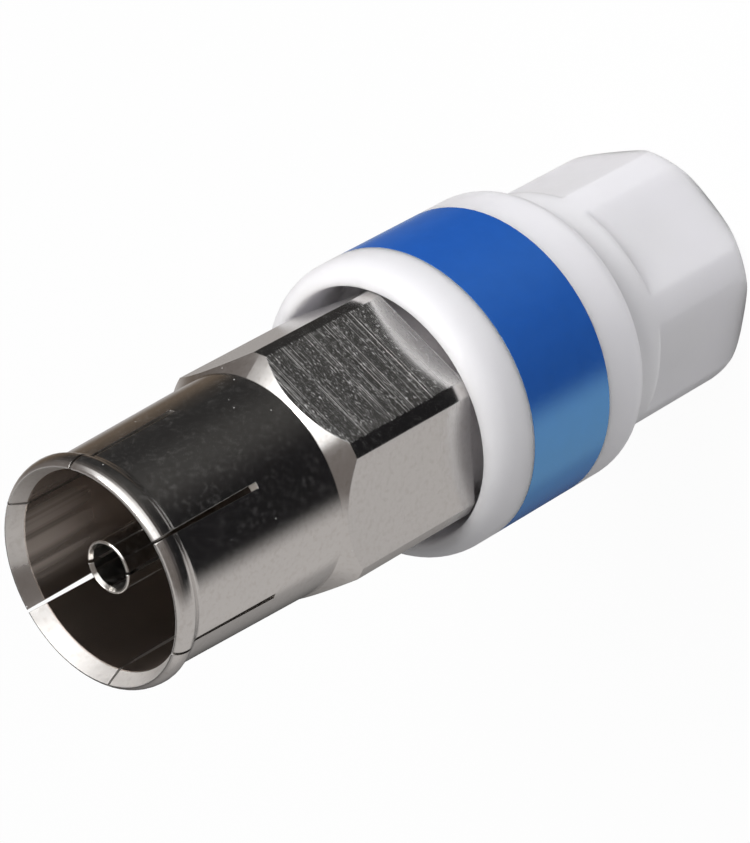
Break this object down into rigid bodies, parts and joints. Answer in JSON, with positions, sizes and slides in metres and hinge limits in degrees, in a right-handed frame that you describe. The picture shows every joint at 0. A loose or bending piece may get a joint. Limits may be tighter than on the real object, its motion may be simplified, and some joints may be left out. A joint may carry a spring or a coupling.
{
  "type": "coaxial cable connector",
  "caption": "Female coaxial cable connector: slotted metal spring sleeve, spanner hexagon and a white nut with a blue band that clamps the cable.",
  "frame": {"origin": "centre of the nut's flat cable end, on the connector's axis", "axes": "+Z along the axis from the cable end to the socket; +X through a corner of the metal hexagon"},
  "size_m": [0.0146, 0.0146, 0.0385],
  "materials": {
    "plated_metal": "bright nickel plate over turned brass",
    "contact_metal": "bright plated spring contact",
    "insulator_plastic": "matt dark brown moulded insulator",
    "clamp_plastic": "matt moulded collet",
    "ring_brass": "plain turned brass",
    "nut_plastic": "white moulded plastic, half gloss",
    "band_foil": "satin blue foil"
  },
  "bodies": {
    "socket": {"outer_body": "plated_metal", "centre_contact": "contact_metal", "front_insulator": "insulator_plastic", "rear_insulator": "insulator_plastic", "cable_post": "plated_metal"},
    "clamp": {"clamp_sleeve": "clamp_plastic", "thrust_ring": "ring_brass"},
    "nut": {"tightening_nut": "nut_plastic", "colour_band": "band_foil"}
  },
  "joints": [
    {"name": "clamp_advance", "type": "slide", "parent": "socket", "child": "clamp", "axis": [0, 0, 1], "range_m": [0, 0.003]},
    {"name": "nut_turn", "type": "hinge", "parent": "clamp", "child": "nut", "pos_m": [0, 0, 0], "axis": [0, 0, 1], "range_deg": [0, 720]}
  ],
  "couplings": [
    {"joint": "nut_turn", "follows": "clamp_advance", "rad_per_m": 4188.8}
  ]
}
